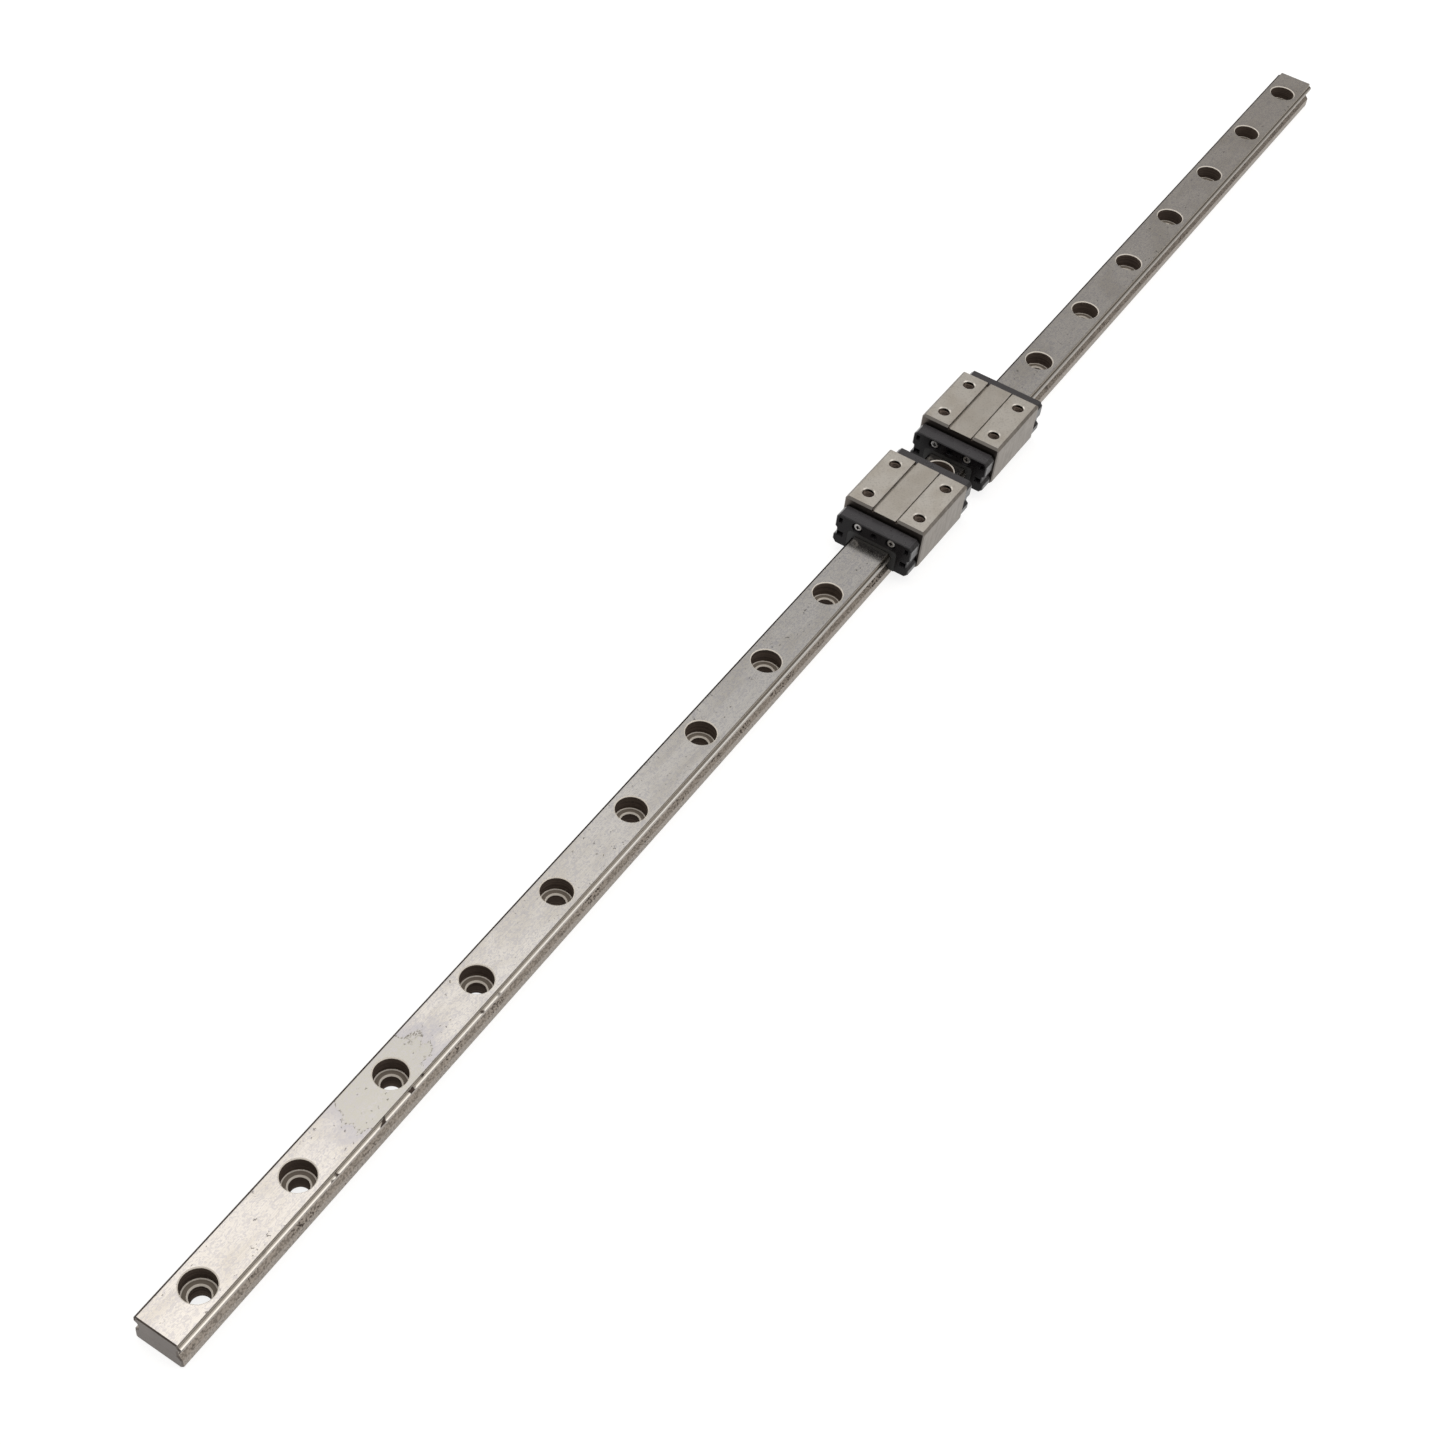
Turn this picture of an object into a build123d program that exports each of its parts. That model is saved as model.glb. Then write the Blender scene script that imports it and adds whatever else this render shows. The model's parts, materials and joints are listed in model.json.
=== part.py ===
"""Miniature linear guide: one ground rail and two recirculating-ball carriages.

The rail lies along X with its underside on Z = 0 and its centre at the origin. Each
carriage straddles the rail on four rows of balls, two on each side. A row runs down a
groove between rail and block, round a turn in the end cap and back through a hole in the
block. "Front" is the -X end of a carriage, "left" is its +Y side. Units are millimetres.
"""

import math
import os

from build123d import *

os.makedirs("parts", exist_ok=True)

# Rail
RAIL_LENGTH = 470.0
RAIL_WIDTH = 10.0
RAIL_HEIGHT = 7.0
RAIL_FOOT_HEIGHT = 2.5
RAIL_WAIST_HALF_WIDTH = 4.14
RAIL_FOOT_CHAMFER = 0.4
RAIL_END_CHAMFER = 0.25
HOLE_PITCH = 25.0
HOLE_COUNT = 19
BOLT_HOLE_DIAMETER = 3.8
BOLT_HOLE_CHAMFER = 0.3
COUNTERBORE_DIAMETER = 6.5
COUNTERBORE_DEPTH = 3.5
COUNTERBORE_EDGE_BREAK = 0.2

# Balls and their grooves; places are (Y, Z) on the left side of the rail
BALL_DIAMETER = 1.5
BALLS_PER_ROW = 30
GROOVE_RADIUS = 0.52 * BALL_DIAMETER
PASSAGE_RADIUS = BALL_DIAMETER / 2 + 0.1
LOAD_PLACES = {"upper": (5.05, 6.85), "lower": (4.90, 4.60)}
RETURN_PLACES = {"upper": (7.75, 8.20), "lower": (7.90, 4.90)}

# Steel block
CARRIAGE_CENTRES = {"near": 8.0, "far": 42.9}
BLOCK_LENGTH = 20.1
BLOCK_WIDTH = 20.0
BLOCK_TOP = 13.0
BLOCK_BOTTOM = 2.2
BLOCK_TOP_CHAMFER = 0.6
BLOCK_FOOT_CHAMFER = 1.2
BLOCK_CORNER_CHAMFER = 0.25
CHANNEL_HALF_WIDTH = 5.3
CHANNEL_TOP = 7.45
PANEL_HALF_WIDTH = 2.75
PANEL_DROP = 0.4
PANEL_GROOVE_WIDTH = 0.5
PANEL_GROOVE_DEPTH = 0.9
PAD_END_CHAMFER = 0.5
TAPPED_SPACING_X = 12.0
TAPPED_SPACING_Y = 13.0
TAPPED_RADIUS = 1.3
TAPPED_MOUTH_RADIUS = 1.55
TAPPED_DEPTH = 2.8

# Gap left all round pieces that are let into others
FIT_PLAY = 0.02

# Ball retainer, a strip between the two rows of one side
RETAINER_OUTER = 6.03
RETAINER_LOW = 5.15
RETAINER_HIGH = 6.30

# End cap, the seal let into its face and its two screws
CAP_THICKNESS = 3.95
CAP_TOP = 11.0
CAP_BOTTOM = 2.5
CAP_SIDE_OUTLINE = [
    (8.8, CAP_TOP),
    (9.5, 10.1),
    (9.5, 7.3),
    (9.0, 6.9),
    (9.0, 5.3),
    (9.6, 4.7),
    (9.6, 3.4),
    (8.8, CAP_BOTTOM),
]
CAP_COLLAR_LENGTH = 0.4
CAP_COLLAR_OUTLINE = [
    (8.3, 10.5),
    (9.0, 9.6),
    (9.0, 3.4),
    (8.3, CAP_BOTTOM),
]
CAP_CHANNEL_HALF_WIDTH = 5.3
CAP_CHANNEL_TOP = 7.3
CAP_EDGE_BREAK = 0.2
SEAL_THICKNESS = 0.8
SEAL_HALF_WIDTH = 6.2
SEAL_TOP = 8.0
SEAL_CORNER_RADIUS = 0.9
SEAL_CLEARANCE = 0.08
UPPER_POCKET = {"place": (8.3, 9.4), "size": (0.9, 1.5), "depth": 1.0}
LOWER_POCKET = {"place": (8.0, 5.6), "size": (1.5, 1.4), "depth": 1.2}
GREASE_HOLE_RADIUS = 0.8
GREASE_HOLE_HEIGHT = 9.4
SCREW_PLACE = (4.2, 9.4)
SCREW_SHANK_RADIUS = 0.7
SCREW_SHANK_PLAY = 0.03
SCREW_GRIP = 3.0
SCREW_HOLE_SPARE = 0.5
SCREW_HEAD_RADIUS = 1.0
SCREW_HEAD_HEIGHT = 0.6
SCREW_HEAD_SUNK = 0.35
SCREW_HEAD_ROUNDING = 0.25
SCREW_RECESS_RADIUS = 0.34
SCREW_SLOT_LENGTH = 1.0
SCREW_SLOT_WIDTH = 0.36
SCREW_SLOT_DEPTH = 0.5
CAP_SCREW_HOLE_RADIUS = 0.85
HEAD_POCKET_RADIUS = 1.3

# Return guide, the spool that holds the inside of each turn
GUIDE_RADIUS = 1.02
GUIDE_WIDTH = 1.36
GUIDE_PLAY = 0.03

SIDES = {"left": 1, "right": -1}
ENDS = {"front": -1, "rear": 1}
LEVELS = ["upper", "lower"]


def mirrored(half_outline):
    """Both sides of an outline that is given for positive Y, as one run of points."""
    other_half = [(-y, z) for y, z in reversed(half_outline)]
    return half_outline + other_half


def places_on_both_sides(places):
    """The left-side places and their mirror images on the right."""
    return [(side * y, z) for y, z in places.values() for side in SIDES.values()]


def section_plane(x):
    """A plane across the rail at x, with Y to the right and Z up."""
    return Plane.YZ.offset(x)


def end_plane(centre_x, end, distance):
    """A plane across the rail, facing outward from one end of a carriage."""
    return Plane(
        origin=(centre_x + end * distance, 0, 0), x_dir=(0, end, 0), z_dir=(end, 0, 0)
    )


def turn_radius(level):
    """Radius of a ball's path as it turns from the loaded groove to the return hole."""
    return math.dist(LOAD_PLACES[level], RETURN_PLACES[level]) / 2


def turn_plane(centre_x, end, side, level):
    """The plane that a row turns in at one end, centred on the turn."""
    load_y, load_z = LOAD_PLACES[level]
    return_y, return_z = RETURN_PLACES[level]
    middle_y = side * (load_y + return_y) / 2
    middle_z = (load_z + return_z) / 2
    across = Vector(0, side * (return_y - load_y), return_z - load_z)
    return Plane(
        origin=(centre_x + end * BLOCK_LENGTH / 2, middle_y, middle_z),
        x_dir=across,
        z_dir=Vector(1, 0, 0).cross(across),
    )


def save(part, name):
    """Label one finished piece and write its file."""
    part.label = name
    export_step(part, f"parts/{name}.step")


def closed_outline(half_outline):
    """A face whose outline is given for positive Y."""
    with BuildSketch() as face:
        with BuildLine():
            Polyline(*mirrored(half_outline), close=True)
        make_face()
    return face.sketch


def rims_of_radius(builder, radius):
    """The circular edges of one radius."""
    circles = builder.edges().filter_by(GeomType.CIRCLE)
    return circles.filter_by(lambda edge: math.isclose(edge.radius, radius, abs_tol=1e-4))


def rail_section():
    """The rail's cross-section: flat top, two ball grooves a side, waist and foot."""
    half_width = RAIL_WIDTH / 2
    flare = half_width - RAIL_WAIST_HALF_WIDTH
    lower_groove_z = LOAD_PLACES["lower"][1]
    half_outline = [
        (half_width - RAIL_FOOT_CHAMFER, 0),
        (half_width, RAIL_FOOT_CHAMFER),
        (half_width, RAIL_FOOT_HEIGHT),
        (RAIL_WAIST_HALF_WIDTH, RAIL_FOOT_HEIGHT + flare),
        (RAIL_WAIST_HALF_WIDTH, lower_groove_z),
        (half_width, lower_groove_z),
        (half_width, RAIL_HEIGHT),
    ]
    with BuildSketch() as section:
        add(closed_outline(half_outline))
        with Locations(*places_on_both_sides(LOAD_PLACES)):
            Circle(GROOVE_RADIUS, mode=Mode.SUBTRACT)
    return section.sketch


def make_rail():
    """The rail, counterbored from the top for its fixing screws."""
    with BuildPart() as rail:
        with BuildSketch(section_plane(-RAIL_LENGTH / 2)):
            add(rail_section())
        extrude(amount=RAIL_LENGTH)
        end_rims = [face.edges() for face in rail.faces().filter_by(Axis.X)]
        chamfer(end_rims[0] + end_rims[1], RAIL_END_CHAMFER)
        with Locations(Plane.XY.offset(RAIL_HEIGHT)):
            with GridLocations(HOLE_PITCH, 1, HOLE_COUNT, 1):
                CounterBoreHole(
                    BOLT_HOLE_DIAMETER / 2, COUNTERBORE_DIAMETER / 2, COUNTERBORE_DEPTH
                )
        top_rims = rims_of_radius(rail, COUNTERBORE_DIAMETER / 2).group_by(Axis.Z)[-1]
        chamfer(top_rims, COUNTERBORE_EDGE_BREAK)
        ledge_rims = rims_of_radius(rail, BOLT_HOLE_DIAMETER / 2).group_by(Axis.Z)[-1]
        chamfer(ledge_rims, BOLT_HOLE_CHAMFER)
    save(rail.part, "rail")


def make_block(carriage, centre_x):
    """The hardened block: channel, loaded grooves, return holes and tapped top."""
    front = section_plane(centre_x - BLOCK_LENGTH / 2)
    top = Plane.XY.offset(BLOCK_TOP)
    channel_height = CHANNEL_TOP - BLOCK_BOTTOM
    retainer_middle = (RETAINER_LOW + RETAINER_HIGH) / 2
    pocket_height = RETAINER_HIGH - RETAINER_LOW + 2 * FIT_PLAY
    pocket_width = 2 * (RETAINER_OUTER + FIT_PLAY)
    with BuildPart() as block:
        with BuildSketch(front) as section:
            with Locations((0, BLOCK_BOTTOM)):
                Rectangle(
                    BLOCK_WIDTH, BLOCK_TOP - BLOCK_BOTTOM, align=(Align.CENTER, Align.MIN)
                )
            chamfer(section.vertices().group_by(Axis.Y)[-1], BLOCK_TOP_CHAMFER)
            chamfer(section.vertices().group_by(Axis.Y)[0], BLOCK_FOOT_CHAMFER)
            with Locations((0, BLOCK_BOTTOM)):
                Rectangle(
                    2 * CHANNEL_HALF_WIDTH,
                    channel_height,
                    align=(Align.CENTER, Align.MIN),
                    mode=Mode.SUBTRACT,
                )
            with Locations((0, retainer_middle)):
                Rectangle(pocket_width, pocket_height, mode=Mode.SUBTRACT)
            with Locations(*places_on_both_sides(LOAD_PLACES)):
                Circle(GROOVE_RADIUS, mode=Mode.SUBTRACT)
            with Locations(*places_on_both_sides(RETURN_PLACES)):
                Circle(PASSAGE_RADIUS, mode=Mode.SUBTRACT)
            with Locations((0, BLOCK_TOP)):
                Rectangle(
                    2 * (PANEL_HALF_WIDTH + PANEL_GROOVE_WIDTH),
                    2 * PANEL_GROOVE_DEPTH,
                    mode=Mode.SUBTRACT,
                )
            with Locations((0, BLOCK_TOP - PANEL_GROOVE_DEPTH)):
                Rectangle(
                    2 * PANEL_HALF_WIDTH,
                    PANEL_GROOVE_DEPTH - PANEL_DROP,
                    align=(Align.CENTER, Align.MIN),
                )
        extrude(amount=BLOCK_LENGTH)
        pad_end_edges = block.edges().filter_by(Axis.Y).group_by(Axis.Z)[-1]
        chamfer(pad_end_edges, PAD_END_CHAMFER)
        upright_edges = block.edges().filter_by(Axis.Z)
        corner_edges = upright_edges.group_by(Axis.Y)[0] + upright_edges.group_by(Axis.Y)[-1]
        chamfer(corner_edges, BLOCK_CORNER_CHAMFER)
        with Locations(top):
            with Locations((centre_x, 0)):
                with GridLocations(TAPPED_SPACING_X, TAPPED_SPACING_Y, 2, 2):
                    CounterSinkHole(TAPPED_RADIUS, TAPPED_MOUTH_RADIUS, depth=TAPPED_DEPTH)
        for end in ENDS.values():
            with Locations(end_plane(centre_x, end, BLOCK_LENGTH / 2)):
                with Locations(*mirrored([SCREW_PLACE])):
                    Hole(SCREW_SHANK_RADIUS + SCREW_SHANK_PLAY, depth=SCREW_GRIP + SCREW_HOLE_SPARE)
    save(block.part, f"{carriage}_block")


def make_end_cap(carriage, centre_x, end_name):
    """The resin cap that turns the four rows round and carries the seal."""
    end = ENDS[end_name]
    back = end_plane(centre_x, end, BLOCK_LENGTH / 2)
    collar_face = end_plane(centre_x, end, BLOCK_LENGTH / 2 + CAP_COLLAR_LENGTH)
    face = end_plane(centre_x, end, BLOCK_LENGTH / 2 + CAP_THICKNESS)
    channel_height = CAP_CHANNEL_TOP - CAP_BOTTOM
    with BuildPart() as cap:
        with BuildSketch(back):
            add(closed_outline(CAP_COLLAR_OUTLINE))
        extrude(amount=CAP_COLLAR_LENGTH)
        with BuildSketch(collar_face):
            add(closed_outline(CAP_SIDE_OUTLINE))
        extrude(amount=CAP_THICKNESS - CAP_COLLAR_LENGTH)
        outer_face = cap.faces().sort_by(Axis.X)[-1 if end > 0 else 0]
        chamfer(outer_face.edges(), CAP_EDGE_BREAK)
        with BuildSketch(back):
            with Locations((0, CAP_BOTTOM)):
                Rectangle(
                    2 * CAP_CHANNEL_HALF_WIDTH, channel_height, align=(Align.CENTER, Align.MIN)
                )
            with Locations((0, GREASE_HOLE_HEIGHT)):
                Circle(GREASE_HOLE_RADIUS)
            with Locations(*mirrored([SCREW_PLACE])):
                Circle(CAP_SCREW_HOLE_RADIUS)
        extrude(amount=CAP_THICKNESS, mode=Mode.SUBTRACT)
        with BuildSketch(face):
            add(seal_outline(SEAL_HALF_WIDTH, SEAL_TOP))
        extrude(amount=-SEAL_THICKNESS, mode=Mode.SUBTRACT)
        with BuildSketch(face):
            with Locations(*mirrored([SCREW_PLACE])):
                Circle(HEAD_POCKET_RADIUS)
        extrude(amount=-(SCREW_HEAD_HEIGHT + SCREW_HEAD_SUNK), mode=Mode.SUBTRACT)
        for pocket in (UPPER_POCKET, LOWER_POCKET):
            with BuildSketch(face):
                with Locations(*mirrored([pocket["place"]])):
                    Rectangle(*pocket["size"])
            extrude(amount=-pocket["depth"], mode=Mode.SUBTRACT)
        for side in SIDES.values():
            for level in LEVELS:
                with Locations(turn_plane(centre_x, end, side, level)):
                    Torus(turn_radius(level), PASSAGE_RADIUS, mode=Mode.SUBTRACT)
                    Cylinder(
                        GUIDE_RADIUS + GUIDE_PLAY,
                        GUIDE_WIDTH + 2 * GUIDE_PLAY,
                        mode=Mode.SUBTRACT,
                    )
    save(cap.part, f"{carriage}_{end_name}_end_cap")


def seal_outline(half_width, top):
    """The seal's outer shape, a plate with rounded upper corners, standing on the cap's foot."""
    with BuildSketch() as outline:
        with Locations((0, CAP_BOTTOM)):
            Rectangle(2 * half_width, top - CAP_BOTTOM, align=(Align.CENTER, Align.MIN))
        fillet(outline.vertices().group_by(Axis.Y)[-1], SEAL_CORNER_RADIUS)
    return outline.sketch


def make_end_seal(carriage, centre_x, end_name):
    """The rubber lip, flush in the cap's face, that wipes the rail."""
    face = end_plane(centre_x, ENDS[end_name], BLOCK_LENGTH / 2 + CAP_THICKNESS)
    with BuildPart() as seal:
        with BuildSketch(face):
            add(seal_outline(SEAL_HALF_WIDTH - FIT_PLAY, SEAL_TOP - FIT_PLAY))
            offset(rail_section(), SEAL_CLEARANCE, mode=Mode.SUBTRACT)
        extrude(amount=-SEAL_THICKNESS)
    save(seal.part, f"{carriage}_{end_name}_end_seal")


def make_screws(carriage, centre_x, end_name):
    """The two cross-recessed screws that hold one end cap."""
    end = ENDS[end_name]
    head_distance = BLOCK_LENGTH / 2 + CAP_THICKNESS - SCREW_HEAD_SUNK
    head_face = end_plane(centre_x, end, head_distance)
    screw_length = head_distance - BLOCK_LENGTH / 2 + SCREW_GRIP
    with BuildPart() as screws:
        with BuildSketch(head_face):
            with Locations(*mirrored([SCREW_PLACE])):
                Circle(SCREW_SHANK_RADIUS)
        extrude(amount=-screw_length)
        with BuildSketch(head_face):
            with Locations(*mirrored([SCREW_PLACE])):
                Circle(SCREW_HEAD_RADIUS)
        extrude(amount=-SCREW_HEAD_HEIGHT)
        outer_rims = rims_of_radius(screws, SCREW_HEAD_RADIUS).group_by(Axis.X)
        fillet(outer_rims[-1 if end > 0 else 0], SCREW_HEAD_ROUNDING)
        with BuildSketch(head_face):
            with Locations(*mirrored([SCREW_PLACE])):
                Circle(SCREW_RECESS_RADIUS)
                Rectangle(SCREW_SLOT_LENGTH, SCREW_SLOT_WIDTH)
                Rectangle(SCREW_SLOT_WIDTH, SCREW_SLOT_LENGTH)
        extrude(amount=-SCREW_SLOT_DEPTH, mode=Mode.SUBTRACT)
    save(screws.part, f"{carriage}_{end_name}_screws")


def ball_centre(distance, centre_x, side, level):
    """Where a ball is after rolling this far round its closed path."""
    radius = turn_radius(level)
    turn_length = math.pi * radius
    load_y, load_z = LOAD_PLACES[level]
    return_y, return_z = RETURN_PLACES[level]
    if distance < BLOCK_LENGTH:
        along = distance - BLOCK_LENGTH / 2
        share = 0.0
    elif distance < BLOCK_LENGTH + turn_length:
        angle = (distance - BLOCK_LENGTH) / radius
        along = BLOCK_LENGTH / 2 + radius * math.sin(angle)
        share = (1 - math.cos(angle)) / 2
    elif distance < 2 * BLOCK_LENGTH + turn_length:
        along = 1.5 * BLOCK_LENGTH + turn_length - distance
        share = 1.0
    else:
        angle = (distance - 2 * BLOCK_LENGTH - turn_length) / radius
        along = -BLOCK_LENGTH / 2 - radius * math.sin(angle)
        share = (1 + math.cos(angle)) / 2
    y = side * (load_y + share * (return_y - load_y))
    z = load_z + share * (return_z - load_z)
    return (centre_x + along, y, z)


def make_balls(carriage, centre_x, side_name, level):
    """One closed row of balls, evenly spaced round its path."""
    path_length = 2 * BLOCK_LENGTH + 2 * math.pi * turn_radius(level)
    spacing = path_length / BALLS_PER_ROW
    side = SIDES[side_name]
    centres = [
        ball_centre((index + 0.5) * spacing, centre_x, side, level)
        for index in range(BALLS_PER_ROW)
    ]
    with BuildPart() as balls:
        with Locations(*centres):
            Sphere(BALL_DIAMETER / 2)
    save(balls.part, f"{carriage}_{level}_{side_name}_balls")


def make_retainer(carriage, centre_x, side_name):
    """The strip that keeps both rows of one side in the block off the rail."""
    side = SIDES[side_name]
    inner = CHANNEL_HALF_WIDTH + FIT_PLAY
    middle = ((inner + RETAINER_OUTER) / 2 * side, (RETAINER_LOW + RETAINER_HIGH) / 2)
    with BuildPart() as retainer:
        with BuildSketch(section_plane(centre_x - BLOCK_LENGTH / 2)):
            with Locations(middle):
                Rectangle(RETAINER_OUTER - inner, RETAINER_HIGH - RETAINER_LOW)
            with Locations(*places_on_both_sides(LOAD_PLACES)):
                Circle(GROOVE_RADIUS + FIT_PLAY, mode=Mode.SUBTRACT)
        extrude(amount=BLOCK_LENGTH)
    save(retainer.part, f"{carriage}_{side_name}_ball_retainer")


def make_return_guide(carriage, centre_x, end_name, side_name, level):
    """A half spool on the block's end face, round which one row turns."""
    end = ENDS[end_name]
    with BuildPart() as guide:
        with Locations(turn_plane(centre_x, end, SIDES[side_name], level)):
            Cylinder(GUIDE_RADIUS, GUIDE_WIDTH)
            Torus(turn_radius(level), PASSAGE_RADIUS, mode=Mode.SUBTRACT)
        split(bisect_by=end_plane(centre_x, end, BLOCK_LENGTH / 2), keep=Keep.TOP)
    save(guide.part, f"{carriage}_{end_name}_{level}_{side_name}_guide")


def make_carriage(carriage, centre_x):
    """Every piece of one carriage."""
    make_block(carriage, centre_x)
    for end_name in ENDS:
        make_end_cap(carriage, centre_x, end_name)
        make_end_seal(carriage, centre_x, end_name)
        make_screws(carriage, centre_x, end_name)
    for side_name in SIDES:
        make_retainer(carriage, centre_x, side_name)
        for level in LEVELS:
            make_balls(carriage, centre_x, side_name, level)
            for end_name in ENDS:
                make_return_guide(carriage, centre_x, end_name, side_name, level)


make_rail()
for carriage_name, carriage_centre in CARRIAGE_CENTRES.items():
    make_carriage(carriage_name, carriage_centre)
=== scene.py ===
"""The looks of the miniature linear guide: ground and stained steel, moulded black resin, soft light."""

import json
import math

import bpy
from mathutils import Matrix, Vector


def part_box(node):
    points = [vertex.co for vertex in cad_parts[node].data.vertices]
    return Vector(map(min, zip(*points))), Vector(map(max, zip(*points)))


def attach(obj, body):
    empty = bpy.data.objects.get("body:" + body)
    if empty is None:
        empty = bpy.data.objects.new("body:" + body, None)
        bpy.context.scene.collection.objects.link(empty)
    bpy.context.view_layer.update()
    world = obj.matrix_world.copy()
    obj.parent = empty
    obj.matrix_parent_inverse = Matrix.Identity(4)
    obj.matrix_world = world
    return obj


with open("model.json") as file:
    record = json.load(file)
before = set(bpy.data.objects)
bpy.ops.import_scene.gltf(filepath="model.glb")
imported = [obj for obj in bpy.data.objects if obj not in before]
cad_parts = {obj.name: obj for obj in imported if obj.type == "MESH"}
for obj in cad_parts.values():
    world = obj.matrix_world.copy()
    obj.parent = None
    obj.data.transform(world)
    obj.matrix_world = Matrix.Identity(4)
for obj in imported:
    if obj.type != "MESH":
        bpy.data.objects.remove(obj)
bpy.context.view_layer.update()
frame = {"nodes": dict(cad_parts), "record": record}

MM = 0.001

# Camera: place, the point it looks at, its roll, its lens for a 36 mm wide film, and how near it sees
CAMERA_PLACE = Vector((-0.3481, -0.1404, 0.3499))
CAMERA_AIM = Vector((-0.0701, -0.0020, 0.0070))
CAMERA_ROLL = math.radians(8.22)
CAMERA_LENS = 57.1
CAMERA_FILM = 36.0
CAMERA_NEAR = 0.01

# Sky: brightness and warmth at rising heights, given as the sine of the elevation
SKY_STOPS = [
    (0.0, 0.28, 0.12),
    (0.50, 0.345, 0.12),
    (0.62, 0.43, 0.04),
    (0.70, 0.48, 0.0),
    (0.76, 0.68, 0.0),
    (0.81, 1.22, 0.02),
    (0.89, 1.48, 0.08),
    (1.0, 1.8, 0.08),
]
SKY_STRENGTH = 1.8

# Soft boxes: name, place, side and watts
SOFT_BOXES = [
    ("left", (0.10, 1.50, 0.75), 1.4, 6.0),
    ("right", (0.30, -1.20, 1.00), 1.2, 5.0),
]

# Floor: its side, how far it lies under the rail, its glow and its relief
FLOOR_SIZE = 30.0
FLOOR_DROP = 0.05 * MM
FLOOR_GLOW = 0.80
FLOOR_RELIEF = 0.001 * MM

# How wide a strip one finish takes to give way to the next
CRISP = 0.02 * MM
SOFT = 0.05 * MM
BLURRED = 0.15 * MM

# Rail: the radii of a fixing hole's walls, ledge and rim, where the tarnished foot and the band of
# painted light in the ball grooves lie, and how far the change from the left groove's painted shade to
# the right one's is spread
HOLE_WALL_RADIUS = 3.3 * MM
LEDGE_EDGE_RADIUS = 2.95 * MM
RIM_RADIUS = 3.6 * MM
FOOT_HEIGHT = 3.3 * MM
TRACK_INNER = 4.25 * MM
TRACK_TOP = 6.95 * MM
TRACK_BOTTOM = 5.95 * MM
SIDES_BLEND = 1.0 * MM

# Rail: a dried stain round the third hole from the near end, and the reach of the blots in the
# grooves beside it
STAIN_X = -177.0 * MM
STAIN_RADIUS = 10.5 * MM
STAIN_WANDER = 3.0 * MM
STAIN_EDGE = 0.5 * MM
CRUST_WIDTH = 1.5 * MM
HALO_WIDTH = 7.0 * MM
BLOTS_CORE = 20.0 * MM
BLOTS_REACH = 45.0 * MM

# Carriage block: its tapped holes and their thread; its length and run-out are in turns
TAPPED_RADIUS = 1.3 * MM
TAPPED_MOUTH_RADIUS = 1.55 * MM
THREAD_ROOT = 1.33 * MM
THREAD_CREST = 1.07 * MM
THREAD_PITCH = 0.45 * MM
THREAD_WIDTH = 0.40 * MM
THREAD_TOP = 0.55 * MM
THREAD_TURNS = 4.5
THREAD_RUN_OUT = 0.25
THREAD_STEPS = 40

# Carriage block: the middle panel and the groove on each side of it, which is dark with painted shade
# down to a depth, and deeper in a short stretch at its ends
PANEL_HALF_WIDTH = 2.75 * MM
GROOVE_OUTER = PANEL_HALF_WIDTH + 0.5 * MM
GROOVE_EDGE = 0.03 * MM
GROOVE_DEPTH = 0.5 * MM
GROOVE_END_DEPTH = 1.0 * MM
GROOVE_END_START = 0.9 * MM
GROOVE_END_FULL = 0.7 * MM

# Relief of the finishes
RAIL_GRIND_RELIEF = 0.0001 * MM
RAIL_SWIRL_RELIEF = 0.001 * MM
RAIL_PIT_RELIEF = 0.03 * MM
BLOCK_GRIND_RELIEF = 0.005 * MM
BLOCK_GRIT_RELIEF = 0.004 * MM
MOULD_GRAIN_RELIEF = 0.006 * MM
SCREW_RELIEF = 0.005 * MM
THREAD_RELIEF = 0.004 * MM
PALE_RESIN_RELIEF = 0.01 * MM
OIL_FILM_RELIEF = 0.001 * MM

# Colours, as linear light
STEEL = (0.69, 0.66, 0.62)
STEEL_WARM = (0.585, 0.55, 0.50)
STEEL_VIOLET = (0.44, 0.43, 0.47)
STAIN_GREY = (0.51, 0.495, 0.44)
STEEL_SIDE = (0.37, 0.325, 0.28)
# Painted light in the rail's upper ball grooves: a highlight where they face up on the right, shade on
# the rest
TRACK_HIGHLIGHT = (0.66, 0.64, 0.60)
TRACK_SHADE = (0.28, 0.25, 0.215)
STEEL_DARK = (0.11, 0.095, 0.085)
# Painted shade inside the rail's fixing holes, the block's tapped bores and their threads
HOLE_SHADE = (0.066, 0.051, 0.042)
# Painted shade on the rail holes' ledges; painted highlights on the ledges' borders, the bevels and the
# hole rims
LEDGE_SHADE = (0.21, 0.18, 0.15)
LEDGE_HIGHLIGHT = (0.74, 0.69, 0.62)
RUST_BLACK = (0.035, 0.026, 0.022)
BLOCK_PALE = (0.67, 0.635, 0.58)
BLOCK_WARM = (0.585, 0.54, 0.475)
# The block's sides, darkened with painted shade
BLOCK_SIDE_SHADE = (0.245, 0.22, 0.195)
CHAMFER_GREY = (0.20, 0.185, 0.17)
# Painted shade in the grooves beside the block's panel
GROOVE_SHADE = (0.11, 0.09, 0.078)
RESIN_BLACK = (0.012, 0.011, 0.012)
RESIN_CLOUD = (0.022, 0.021, 0.023)
# Painted light on the resin's top faces and painted shade on its end faces
RESIN_TOP_LIT = (0.038, 0.036, 0.039)
RESIN_END_SHADE = (0.005, 0.004, 0.005)
RUBBER_BLACK = (0.010, 0.010, 0.010)
RUBBER_GREY = (0.018, 0.018, 0.018)
ZINC_BRIGHT = (0.42, 0.41, 0.40)
ZINC_DULL = (0.30, 0.29, 0.28)
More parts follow.
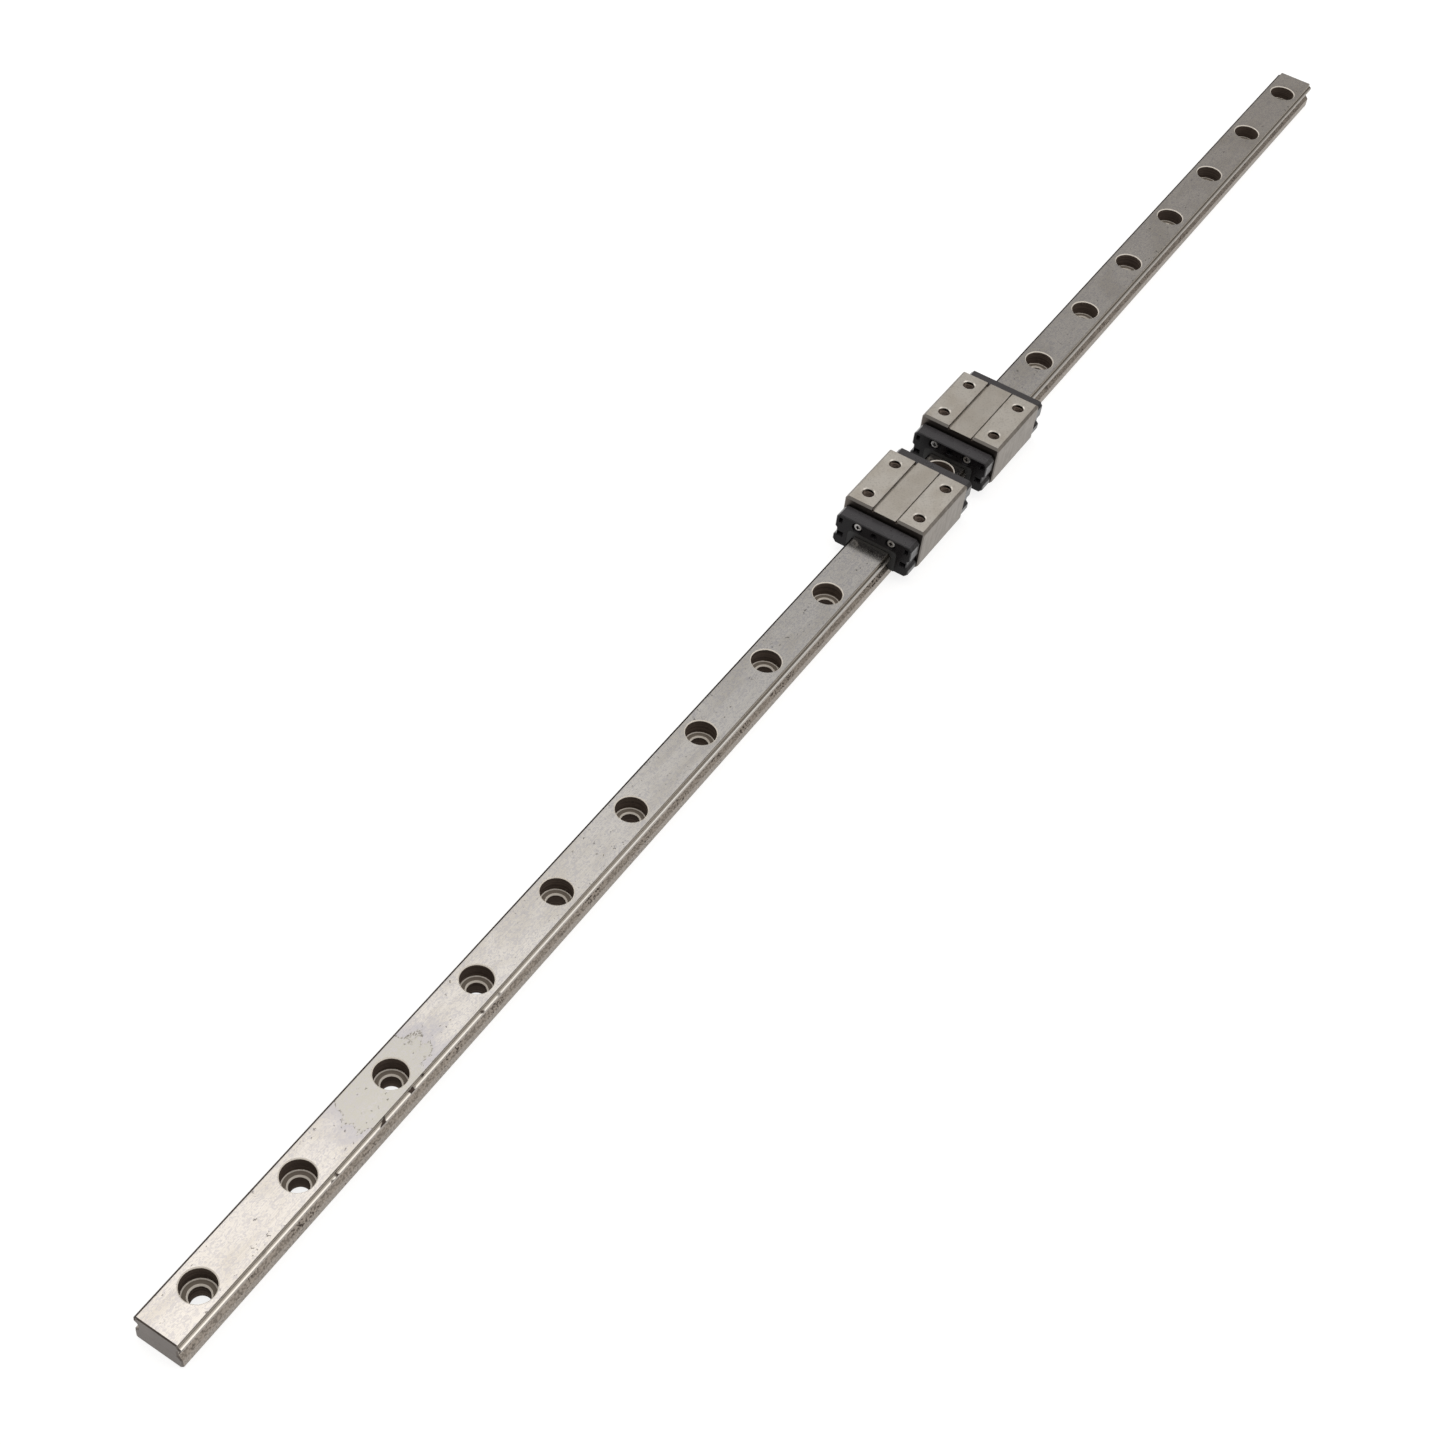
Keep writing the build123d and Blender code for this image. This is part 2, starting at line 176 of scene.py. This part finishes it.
# Painted shade in the screws' sockets
RECESS_SHADE = (0.06, 0.055, 0.05)
PALE_RESIN = (0.62, 0.58, 0.50)
PALE_RESIN_CLOUD = (0.72, 0.69, 0.62)
BALL_BRIGHT = (0.72, 0.72, 0.71)
BALL_OILY = (0.60, 0.59, 0.57)
FLOOR_GREY = (0.27, 0.27, 0.27)
FLOOR_CLOUD = (0.28, 0.28, 0.28)

# Measures taken from the frame
CARRIAGES = ["near", "far"]
MOUNTS = {mount["name"]: mount for mount in frame["record"]["mounts"]}
RAIL_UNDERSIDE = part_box("rail")[0].z
HOLE_PITCH = MOUNTS["rail_holes_centre"]["dims"]["spacing_x_mm"] * MM
TAPPED_SPACING_X = MOUNTS["near_tapped_holes"]["dims"]["spacing_x_mm"] * MM
TAPPED_SPACING_Y = MOUNTS["near_tapped_holes"]["dims"]["spacing_y_mm"] * MM


class Nodes:
    """A material's node tree, with short calls for the nodes that the recipes below use."""

    def __init__(self, name):
        self.material = bpy.data.materials.new(name)
        self.material.use_nodes = True
        self.tree = self.material.node_tree
        self.shader = self.tree.nodes["Principled BSDF"]
        source = self.tree.nodes.new("ShaderNodeTexCoord")
        self.coordinates = source.outputs["Object"]
        self.x, self.y, self.z = self.parts(source.outputs["Object"])
        self.facing_x, self.facing_y, self.facing_z = self.parts(source.outputs["Normal"])

    def parts(self, vector):
        """The three components of a vector."""
        node = self.tree.nodes.new("ShaderNodeSeparateXYZ")
        self.tree.links.new(vector, node.inputs[0])
        return node.outputs["X"], node.outputs["Y"], node.outputs["Z"]

    def put(self, socket, value):
        """Set an input from an output, a colour or a plain number."""
        if isinstance(value, bpy.types.NodeSocket):
            self.tree.links.new(value, socket)
        elif isinstance(value, tuple):
            socket.default_value = (*value, 1)
        else:
            socket.default_value = value

    def noise(self, scale, detail, distortion=0.0):
        """Fractal noise; scale is cycles per metre along X, Y and Z."""
        mapping = self.tree.nodes.new("ShaderNodeMapping")
        mapping.inputs["Scale"].default_value = scale
        self.tree.links.new(self.coordinates, mapping.inputs["Vector"])
        node = self.tree.nodes.new("ShaderNodeTexNoise")
        node.inputs["Scale"].default_value = 1.0
        node.inputs["Detail"].default_value = detail
        node.inputs["Distortion"].default_value = distortion
        self.tree.links.new(mapping.outputs["Vector"], node.inputs["Vector"])
        return node.outputs["Fac"]

    def math(self, operation, first, second=0.0):
        """One arithmetic node."""
        node = self.tree.nodes.new("ShaderNodeMath")
        node.operation = operation
        self.put(node.inputs[0], first)
        self.put(node.inputs[1], second)
        return node.outputs[0]

    def ramp(self, value, low, high, to_low=0.0, to_high=1.0):
        """Map a value from low..high to to_low..to_high, smoothly."""
        node = self.tree.nodes.new("ShaderNodeMapRange")
        node.interpolation_type = "SMOOTHSTEP"
        node.inputs["From Min"].default_value = low
        node.inputs["From Max"].default_value = high
        node.inputs["To Min"].default_value = to_low
        node.inputs["To Max"].default_value = to_high
        self.put(node.inputs["Value"], value)
        return node.outputs["Result"]

    def both(self, *masks):
        """Where every mask is 1."""
        result = masks[0]
        for mask in masks[1:]:
            result = self.math("MULTIPLY", result, mask)
        return result

    def either(self, first, second):
        """Where at least one of two masks is 1."""
        return self.math("MAXIMUM", first, second)

    def outside(self, mask):
        """Where a mask is 0."""
        return self.math("SUBTRACT", 1.0, mask)

    def weaker(self, mask, share):
        """A mask that reaches only a share of 1."""
        return self.math("MULTIPLY", mask, share)

    def size(self, value):
        """A value without its sign."""
        return self.math("ABSOLUTE", value)

    def distance(self, first, second):
        """The length of a vector in a plane."""
        squares = [self.math("MULTIPLY", value, value) for value in (first, second)]
        return self.math("SQRT", self.math("ADD", *squares))

    def mix(self, share, first, second):
        """Blend two colours."""
        node = self.tree.nodes.new("ShaderNodeMix")
        node.data_type = "RGBA"
        self.put(node.inputs["Factor"], share)
        ends = [socket for socket in node.inputs if socket.type == "RGBA"]
        self.put(ends[0], first)
        self.put(ends[1], second)
        return [socket for socket in node.outputs if socket.type == "RGBA"][0]

    def bump(self, height, relief, under=None):
        """A bump of the given height in metres, on top of another one."""
        node = self.tree.nodes.new("ShaderNodeBump")
        node.inputs["Distance"].default_value = relief
        self.tree.links.new(height, node.inputs["Height"])
        if under is not None:
            self.tree.links.new(under, node.inputs["Normal"])
        return node.outputs["Normal"]

    def finish(self, colour, roughness, normal, **plain):
        """Feed the shader; plain values go on its own sockets."""
        self.put(self.shader.inputs["Base Color"], colour)
        self.put(self.shader.inputs["Roughness"], roughness)
        self.tree.links.new(normal, self.shader.inputs["Normal"])
        for name, value in plain.items():
            self.shader.inputs[name.replace("_", " ")].default_value = value
        return self.material


def shade(colour, share):
    """A lighter or darker shade of a colour."""
    return tuple(channel * share for channel in colour)


def ground_colour(nodes, cloud, swirl, grind):
    """The rail's ground faces: warm clouds, violet swirls and darker grinding lines."""
    colour = nodes.mix(nodes.ramp(cloud, 0.42, 0.66, 0.0, 0.8), STEEL, STEEL_WARM)
    colour = nodes.mix(nodes.ramp(swirl, 0.46, 0.60, 0.0, 0.48), colour, STEEL_VIOLET)
    return nodes.mix(nodes.ramp(grind, 0.40, 0.65, 0.0, 0.22), colour, shade(STEEL_WARM, 0.6))


def add_stain(nodes, colour, swirl, from_stain):
    """A dried stain with a ragged outline: grey, with bits of dark crust and a violet halo round it."""
    patch = nodes.noise((95, 150, 150), detail=4, distortion=1.4)
    ragged = nodes.math("ADD", from_stain, nodes.ramp(patch, 0.3, 0.7, -STAIN_WANDER, STAIN_WANDER))
    inside = nodes.ramp(ragged, STAIN_RADIUS, STAIN_RADIUS - STAIN_EDGE)
    halo = nodes.ramp(ragged, STAIN_RADIUS + HALO_WIDTH, STAIN_RADIUS)
    grey = nodes.both(inside, nodes.ramp(swirl, 0.40, 0.55, 0.25, 0.85))
    crust = nodes.both(
        inside,
        nodes.ramp(ragged, STAIN_RADIUS - CRUST_WIDTH, STAIN_RADIUS - STAIN_EDGE),
        nodes.ramp(swirl, 0.48, 0.54),
    )
    colour = nodes.mix(nodes.weaker(halo, 0.6), colour, STEEL_VIOLET)
    colour = nodes.mix(grey, colour, STAIN_GREY)
    return nodes.mix(nodes.weaker(crust, 0.75), colour, STEEL_DARK)


def add_specks(nodes, colour, clump):
    """Black specks of rust in loose clumps."""
    speck = nodes.noise((1500, 1500, 1500), detail=2)
    specks = nodes.both(nodes.ramp(speck, 0.66, 0.70), nodes.ramp(clump, 0.50, 0.58))
    return nodes.mix(nodes.weaker(specks, 0.65), colour, RUST_BLACK)


def tarnish_colour(nodes, grit, clump):
    """The brown of the rail's sides and foot, with black pits."""
    brown = nodes.mix(nodes.ramp(grit, 0.40, 0.62), STEEL_SIDE, shade(STEEL_SIDE, 0.55))
    pits = nodes.both(nodes.ramp(grit, 0.53, 0.62), nodes.ramp(clump, 0.50, 0.62))
    return nodes.mix(nodes.weaker(pits, 0.9), brown, RUST_BLACK)


def track_mask(nodes):
    """Where the upper ball groove runs, along the top edge of each side of the rail."""
    return nodes.both(
        nodes.ramp(nodes.size(nodes.y), TRACK_INNER, TRACK_INNER + SOFT),
        nodes.ramp(nodes.z, TRACK_TOP, TRACK_TOP - SOFT),
        nodes.ramp(nodes.z, TRACK_BOTTOM, TRACK_BOTTOM + SOFT),
    )


def track_colour(nodes, from_stain):
    """The upper ball grooves: painted highlight and painted shade, darkest on the left; black blots by
    the stain.
    """
    blot = nodes.noise((300, 300, 300), detail=3)
    blots = nodes.both(nodes.ramp(blot, 0.60, 0.66), nodes.ramp(from_stain, BLOTS_REACH, BLOTS_CORE))
    on_right = nodes.ramp(nodes.y, 0.0, -SIDES_BLEND)
    on_left = nodes.ramp(nodes.y, 0.0, SIDES_BLEND)
    # Painted highlight where the right groove faces up; painted shade on the rest, darker still on the
    # left
    groove_highlight = nodes.both(nodes.ramp(nodes.facing_z, 0.88, 0.95), on_right)
    groove_shade = nodes.mix(on_left, TRACK_SHADE, shade(STEEL_DARK, 0.5))
    return nodes.mix(blots, nodes.mix(groove_highlight, groove_shade, TRACK_HIGHLIGHT), RUST_BLACK)


def hole_colour(nodes, from_hole):
    """A fixing hole: walls and ledge dark with painted shade, turning rings on the walls, painted
    highlights on the ledge's border and bevel.
    """
    rings = nodes.noise((30, 30, 6000), detail=2)
    level = nodes.ramp(nodes.facing_z, 0.85, 0.95)
    sloping = nodes.both(nodes.ramp(nodes.facing_z, 0.5, 0.6), nodes.outside(level))
    border_highlight = nodes.ramp(from_hole, LEDGE_EDGE_RADIUS, LEDGE_EDGE_RADIUS + SOFT)
    # The walls and ledge carry painted shade; the ledge's border and the bevel carry painted highlights
    walls = nodes.mix(nodes.ramp(rings, 0.4, 0.6), HOLE_SHADE, shade(HOLE_SHADE, 1.9))
    colour = nodes.mix(level, walls, nodes.mix(border_highlight, LEDGE_SHADE, LEDGE_HIGHLIGHT))
    return nodes.mix(sloping, colour, LEDGE_HIGHLIGHT)


def rail_steel():
    """Ground rail: clouded top with one stain, brown pitted sides, dark ends, holes and grooves with
    painted light and shade.
    """
    nodes = Nodes("rail_steel")
    grind = nodes.noise((90, 9000, 9000), detail=3)
    swirl = nodes.noise((1100, 1500, 1500), detail=4, distortion=1.6)
    cloud = nodes.noise((60, 140, 140), detail=5, distortion=0.8)
    clump = nodes.noise((130, 400, 400), detail=3)
    grit = nodes.noise((2400, 3400, 3400), detail=4)
    from_hole = nodes.distance(nodes.math("PINGPONG", nodes.x, HOLE_PITCH / 2), nodes.y)
    from_stain = nodes.distance(nodes.math("SUBTRACT", nodes.x, STAIN_X), nodes.y)

    in_hole = nodes.ramp(from_hole, HOLE_WALL_RADIUS, HOLE_WALL_RADIUS - CRISP)
    by_hole = nodes.ramp(from_hole, RIM_RADIUS, RIM_RADIUS - CRISP)
    off_hole = nodes.outside(in_hole)
    flat_top = nodes.ramp(nodes.facing_z, 0.90, 0.98)
    rim = nodes.both(by_hole, off_hole, nodes.outside(flat_top))
    side = nodes.both(nodes.ramp(nodes.size(nodes.facing_y), 0.80, 0.97), off_hole)
    foot = nodes.both(nodes.ramp(nodes.z, FOOT_HEIGHT + 2 * SOFT, FOOT_HEIGHT), off_hole)
    end_face = nodes.both(nodes.ramp(nodes.size(nodes.facing_x), 0.4, 0.6), off_hole)
    track = nodes.both(track_mask(nodes), nodes.outside(end_face))
    tarnish = nodes.either(nodes.weaker(side, 0.8), foot)

    colour = ground_colour(nodes, cloud, swirl, grind)
    colour = add_stain(nodes, colour, swirl, from_stain)
    colour = add_specks(nodes, colour, clump)
    colour = nodes.mix(tarnish, colour, tarnish_colour(nodes, grit, clump))
    colour = nodes.mix(end_face, colour, nodes.mix(cloud, STEEL_DARK, shade(STEEL_DARK, 1.5)))
    colour = nodes.mix(track, colour, track_colour(nodes, from_stain))
    colour = nodes.mix(in_hole, colour, hole_colour(nodes, from_hole))
    # Painted highlight on the rim round each hole's mouth
    colour = nodes.mix(rim, colour, LEDGE_HIGHLIGHT)

    hole_and_rim = nodes.either(in_hole, rim)
    dull = nodes.either(nodes.either(tarnish, end_face), hole_and_rim)
    roughness = nodes.math("ADD", nodes.ramp(grind, 0.3, 0.7, 0.19, 0.21), nodes.weaker(dull, 0.25))
    normal = nodes.bump(nodes.both(grind, flat_top), RAIL_GRIND_RELIEF)
    normal = nodes.bump(swirl, RAIL_SWIRL_RELIEF, under=normal)
    normal = nodes.bump(nodes.both(grit, tarnish), RAIL_PIT_RELIEF, under=normal)
    nodes.put(nodes.shader.inputs["Metallic"], nodes.outside(hole_and_rim))
    nodes.put(nodes.shader.inputs["Specular IOR Level"], nodes.weaker(off_hole, 0.5))
    return nodes.finish(colour, roughness, normal)


def groove_mask(nodes, across, from_centre, top, half_length):
    """Where the grooves beside a block's panel take painted shade, with the deeper stretch at their
    ends.
    """
    along = nodes.both(
        nodes.ramp(across, PANEL_HALF_WIDTH, PANEL_HALF_WIDTH + GROOVE_EDGE),
        nodes.ramp(across, GROOVE_OUTER, GROOVE_OUTER - GROOVE_EDGE),
        nodes.ramp(nodes.z, top - GROOVE_DEPTH - BLURRED, top - GROOVE_DEPTH),
    )
    at_end = nodes.both(
        nodes.ramp(across, PANEL_HALF_WIDTH - SOFT, PANEL_HALF_WIDTH),
        nodes.ramp(across, GROOVE_OUTER + SOFT, GROOVE_OUTER),
        nodes.ramp(nodes.z, top - GROOVE_END_DEPTH - 2 * SOFT, top - GROOVE_END_DEPTH),
        nodes.ramp(from_centre, half_length - GROOVE_END_START, half_length - GROOVE_END_FULL),
    )
    return nodes.either(along, at_end)


def block_steel(carriage):
    """Ground block: pale pads, warmer panel, streaked sides; painted shade on sides, ends, grooves and
    bores, painted highlights at bore mouths.
    """
    nodes = Nodes(f"{carriage}_block_steel")
    grind = nodes.noise((300, 12000, 12000), detail=3)
    cloud = nodes.noise((170, 220, 220), detail=4)
    grit = nodes.noise((2800, 2800, 2800), detail=5)
    streak = nodes.noise((900, 900, 250), detail=4)

    low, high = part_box(f"{carriage}_block")
    centre_x = (low.x + high.x) / 2
    across = nodes.size(nodes.y)
    from_centre = nodes.size(nodes.math("SUBTRACT", nodes.x, centre_x))
    from_bore = nodes.distance(
        nodes.math("SUBTRACT", from_centre, TAPPED_SPACING_X / 2),
        nodes.math("SUBTRACT", across, TAPPED_SPACING_Y / 2),
    )
    in_bore = nodes.ramp(from_bore, TAPPED_RADIUS + SOFT, TAPPED_RADIUS + CRISP)
    mouth_highlight = nodes.ramp(from_bore, TAPPED_MOUTH_RADIUS + BLURRED, TAPPED_MOUTH_RADIUS + CRISP)
    end_face = nodes.ramp(nodes.size(nodes.facing_x), 0.90, 0.97)
    end_chamfer = nodes.ramp(nodes.size(nodes.facing_x), 0.45, 0.65)
    side_face = nodes.ramp(nodes.size(nodes.facing_y), 0.4, 0.7)
    panel = nodes.ramp(across, PANEL_HALF_WIDTH + GROOVE_EDGE, PANEL_HALF_WIDTH)
    groove = groove_mask(nodes, across, from_centre, high.z, high.x - centre_x)

    colour = nodes.mix(nodes.ramp(cloud, 0.35, 0.70), BLOCK_PALE, BLOCK_WARM)
    colour = nodes.mix(nodes.weaker(panel, 0.35), colour, shade(BLOCK_WARM, 0.8))
    colour = nodes.mix(nodes.ramp(grit, 0.48, 0.70, 0.0, 0.30), colour, shade(BLOCK_WARM, 0.5))
    # The sides: painted shade, with streaks of grain
    side = nodes.mix(nodes.ramp(streak, 0.38, 0.62), BLOCK_SIDE_SHADE, shade(BLOCK_SIDE_SHADE, 0.78))
    colour = nodes.mix(nodes.weaker(side_face, 0.92), colour, side)
    # Painted shade in the grooves beside the panel
    colour = nodes.mix(groove, colour, GROOVE_SHADE)
    colour = nodes.mix(end_chamfer, colour, CHAMFER_GREY)
    # Painted shade on the block's end faces, beside the caps
    colour = nodes.mix(end_face, colour, STEEL_DARK)
    # Painted highlight round each tapped hole's mouth, then painted shade inside the bore
    colour = nodes.mix(mouth_highlight, colour, shade(BLOCK_PALE, 1.1))
    colour = nodes.mix(in_bore, colour, shade(HOLE_SHADE, 0.5))

    roughness = nodes.math("ADD", nodes.ramp(grind, 0.3, 0.7, 0.28, 0.42), nodes.weaker(side_face, 0.1))
    normal = nodes.bump(grind, BLOCK_GRIND_RELIEF)
    normal = nodes.bump(grit, BLOCK_GRIT_RELIEF, under=normal)
    return nodes.finish(colour, roughness, normal, Metallic=1.0)


def black_resin():
    """Moulded black resin with a fine grain: painted light on top, painted shade on its end faces, which
    are also dull.
    """
    nodes = Nodes("black_resin")
    grain = nodes.noise((7000, 7000, 7000), detail=3)
    cloud = nodes.noise((500, 500, 500), detail=4)
    end_face = nodes.ramp(nodes.size(nodes.facing_x), 0.7, 0.95)
    colour = nodes.mix(cloud, RESIN_BLACK, RESIN_CLOUD)
    # Painted light on the top faces, painted shade on the end faces
    colour = nodes.mix(nodes.ramp(nodes.facing_z, 0.7, 0.95), colour, RESIN_TOP_LIT)
    colour = nodes.mix(end_face, colour, RESIN_END_SHADE)
    gloss = nodes.math("SUBTRACT", 0.6, nodes.weaker(end_face, 0.42))
    nodes.put(nodes.shader.inputs["Specular IOR Level"], gloss)
    roughness = nodes.ramp(cloud, 0.3, 0.7, 0.20, 0.34)
    return nodes.finish(colour, roughness, nodes.bump(grain, MOULD_GRAIN_RELIEF), IOR=1.45)


def seal_rubber():
    """Black nitrile rubber of the wiping lips."""
    nodes = Nodes("seal_rubber")
    grain = nodes.noise((7000, 7000, 7000), detail=3)
    colour = nodes.mix(grain, RUBBER_BLACK, RUBBER_GREY)
    roughness = nodes.ramp(grain, 0.3, 0.7, 0.5, 0.7)
    return nodes.finish(colour, roughness, nodes.bump(grain, MOULD_GRAIN_RELIEF), IOR=1.45)


def screw_steel():
    """Zinc-plated screws with turning marks, and painted shade on faces that run along the X axis, the
    socket's walls among them.
    """
    nodes = Nodes("screw_steel")
    marks = nodes.noise((3000, 3000, 3000), detail=5)
    # Painted shade on faces that run along the X axis, in the sockets
    recess = nodes.ramp(nodes.size(nodes.facing_x), 0.15, 0.05)
    colour = nodes.mix(recess, nodes.mix(marks, ZINC_BRIGHT, ZINC_DULL), RECESS_SHADE)
    roughness = nodes.ramp(marks, 0.3, 0.7, 0.22, 0.40)
    return nodes.finish(colour, roughness, nodes.bump(marks, SCREW_RELIEF), Metallic=1.0)


def thread_steel():
    """The flanks of the tapped threads, dark brown with painted shade."""
    nodes = Nodes("thread_steel")
    marks = nodes.noise((4000, 4000, 4000), detail=4)
    colour = nodes.mix(marks, shade(HOLE_SHADE, 0.6), shade(HOLE_SHADE, 1.8))
    roughness = nodes.ramp(marks, 0.3, 0.7, 0.25, 0.45)
    return nodes.finish(colour, roughness, nodes.bump(marks, THREAD_RELIEF), Metallic=1.0)


def pale_resin():
    """Natural resin of the hidden guides and retainers."""
    nodes = Nodes("pale_resin")
    cloud = nodes.noise((600, 600, 600), detail=4)
    colour = nodes.mix(cloud, PALE_RESIN, PALE_RESIN_CLOUD)
    roughness = nodes.ramp(cloud, 0.3, 0.7, 0.4, 0.55)
    return nodes.finish(colour, roughness, nodes.bump(cloud, PALE_RESIN_RELIEF))


def ball_steel():
    """Polished bearing steel under a thin film of oil."""
    nodes = Nodes("ball_steel")
    film = nodes.noise((1500, 1500, 1500), detail=3)
    colour = nodes.mix(film, BALL_BRIGHT, BALL_OILY)
    roughness = nodes.ramp(film, 0.3, 0.7, 0.06, 0.16)
    return nodes.finish(colour, roughness, nodes.bump(film, OIL_FILM_RELIEF), Metallic=1.0)


def paint_nodes():
    """Every CAD node takes the material of its slot in the record; each block has its own."""
    resin = pale_resin()
    by_slot = {
        "rail_steel": rail_steel(),
        "black_resin": black_resin(),
        "seal_rubber": seal_rubber(),
        "screw_steel": screw_steel(),
        "retainer_resin": resin,
        "guide_resin": resin,
        "ball_steel": ball_steel(),
    }
    by_node = {f"{carriage}_block": block_steel(carriage) for carriage in CARRIAGES}
    for entry in frame["record"]["subparts"]:
        name = entry["node"]
        materials = frame["nodes"][name].data.materials
        materials.clear()
        materials.append(by_node[name] if name in by_node else by_slot[entry["material_slot"]])


def thread_mesh(name, centres):
    """Helical ridges that stand in from the walls of the tapped holes, one for each centre."""
    steps = int(THREAD_TURNS * THREAD_STEPS)
    run_out_steps = THREAD_RUN_OUT * THREAD_STEPS
    vertices = []
    faces = []
    for centre in centres:
        first = len(vertices)
        for step in range(steps + 1):
            angle = 2 * math.pi * step / THREAD_STEPS
            drop = THREAD_TOP + THREAD_PITCH * step / THREAD_STEPS
            full = min(1.0, step / run_out_steps, (steps - step) / run_out_steps)
            crest = THREAD_ROOT + (THREAD_CREST - THREAD_ROOT) * full
            for radius, rise in ((THREAD_ROOT, 0.5), (crest, 0.0), (THREAD_ROOT, -0.5)):
                offset = (radius * math.cos(angle), radius * math.sin(angle), rise * THREAD_WIDTH - drop)
                vertices.append(centre + Vector(offset))
        for step in range(steps):
            start = first + 3 * step
            for corner in range(3):
                after = (corner + 1) % 3
                faces.append((start + corner, start + after, start + 3 + after, start + 3 + corner))
        last = first + 3 * steps
        faces.append((first + 2, first + 1, first))
        faces.append((last, last + 1, last + 2))
    mesh = bpy.data.meshes.new(name)
    mesh.from_pydata(vertices, [], faces)
    mesh.validate()
    return mesh


def make_threads():
    """The threads of each block's four tapped holes, as one piece that rides on the carriage."""
    steel = thread_steel()
    for carriage in CARRIAGES:
        low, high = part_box(f"{carriage}_block")
        middle = Vector(((low.x + high.x) / 2, 0, high.z))
        corners = [
            middle + Vector((along * TAPPED_SPACING_X / 2, across * TAPPED_SPACING_Y / 2, 0))
            for along in (-1, 1)
            for across in (-1, 1)
        ]
        name = f"{carriage}_threads"
        threads = bpy.data.objects.new(name, thread_mesh(name, corners))
        threads.data.materials.append(steel)
        bpy.context.scene.collection.objects.link(threads)
        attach(threads, f"{carriage}_carriage")


def make_floor():
    """A wide floor just under the rail, white because it glows like a light table."""
    bpy.ops.mesh.primitive_plane_add(size=FLOOR_SIZE, location=(0, 0, RAIL_UNDERSIDE - FLOOR_DROP))
    floor = bpy.context.object
    floor.name = "floor"
    nodes = Nodes("floor_white")
    cloud = nodes.noise((2, 2, 2), detail=2)
    colour = nodes.mix(cloud, FLOOR_GREY, FLOOR_CLOUD)
    glow = {"Emission_Color": (1, 1, 1, 1), "Emission_Strength": FLOOR_GLOW}
    floor.data.materials.append(nodes.finish(colour, 0.9, nodes.bump(cloud, FLOOR_RELIEF), **glow))


def add_soft_box(name, place, side, watts):
    """A square area light that faces the middle of the rail."""
    data = bpy.data.lights.new(name, "AREA")
    data.size = side
    data.energy = watts
    light = bpy.data.objects.new(name, data)
    light.location = place
    light.rotation_euler = (-Vector(place)).to_track_quat("-Z", "Y").to_euler()
    bpy.context.scene.collection.objects.link(light)


def make_sky():
    """Surroundings that are brightest overhead and grey at the horizon."""
    world = bpy.data.worlds.new("studio")
    world.use_nodes = True
    tree = world.node_tree
    source = tree.nodes.new("ShaderNodeTexCoord")
    split = tree.nodes.new("ShaderNodeSeparateXYZ")
    ramp = tree.nodes.new("ShaderNodeValToRGB")
    tree.links.new(source.outputs["Generated"], split.inputs[0])
    tree.links.new(split.outputs["Z"], ramp.inputs["Fac"])
    background = tree.nodes["Background"]
    tree.links.new(ramp.outputs["Color"], background.inputs["Color"])
    background.inputs["Strength"].default_value = SKY_STRENGTH
    stops = ramp.color_ramp.elements
    while len(stops) < len(SKY_STOPS):
        stops.new(1.0)
    for stop, (height, brightness, warmth) in zip(stops, SKY_STOPS):
        share = brightness / SKY_STRENGTH
        stop.position = height
        stop.color = (share, share * (1 - warmth / 2), share * (1 - warmth), 1)
    bpy.context.scene.world = world


def make_camera():
    """The camera looks along the rail from above its near end, rolled a little."""
    data = bpy.data.cameras.new("camera")
    data.lens = CAMERA_LENS
    data.sensor_width = CAMERA_FILM
    data.clip_start = CAMERA_NEAR
    camera = bpy.data.objects.new("camera", data)
    back = (CAMERA_PLACE - CAMERA_AIM).normalized()
    right = Vector((0, 0, 1)).cross(back).normalized()
    up = back.cross(right)
    turned_right = right * math.cos(CAMERA_ROLL) + up * math.sin(CAMERA_ROLL)
    turned_up = back.cross(turned_right)
    turn = Matrix((turned_right, turned_up, back)).transposed()
    camera.matrix_world = Matrix.Translation(CAMERA_PLACE) @ turn.to_4x4()
    bpy.context.scene.collection.objects.link(camera)
    bpy.context.scene.camera = camera


make_camera()
make_sky()
for soft_box in SOFT_BOXES:
    add_soft_box(*soft_box)
make_floor()
paint_nodes()
make_threads()
bpy.context.scene.view_settings.view_transform = "Standard"
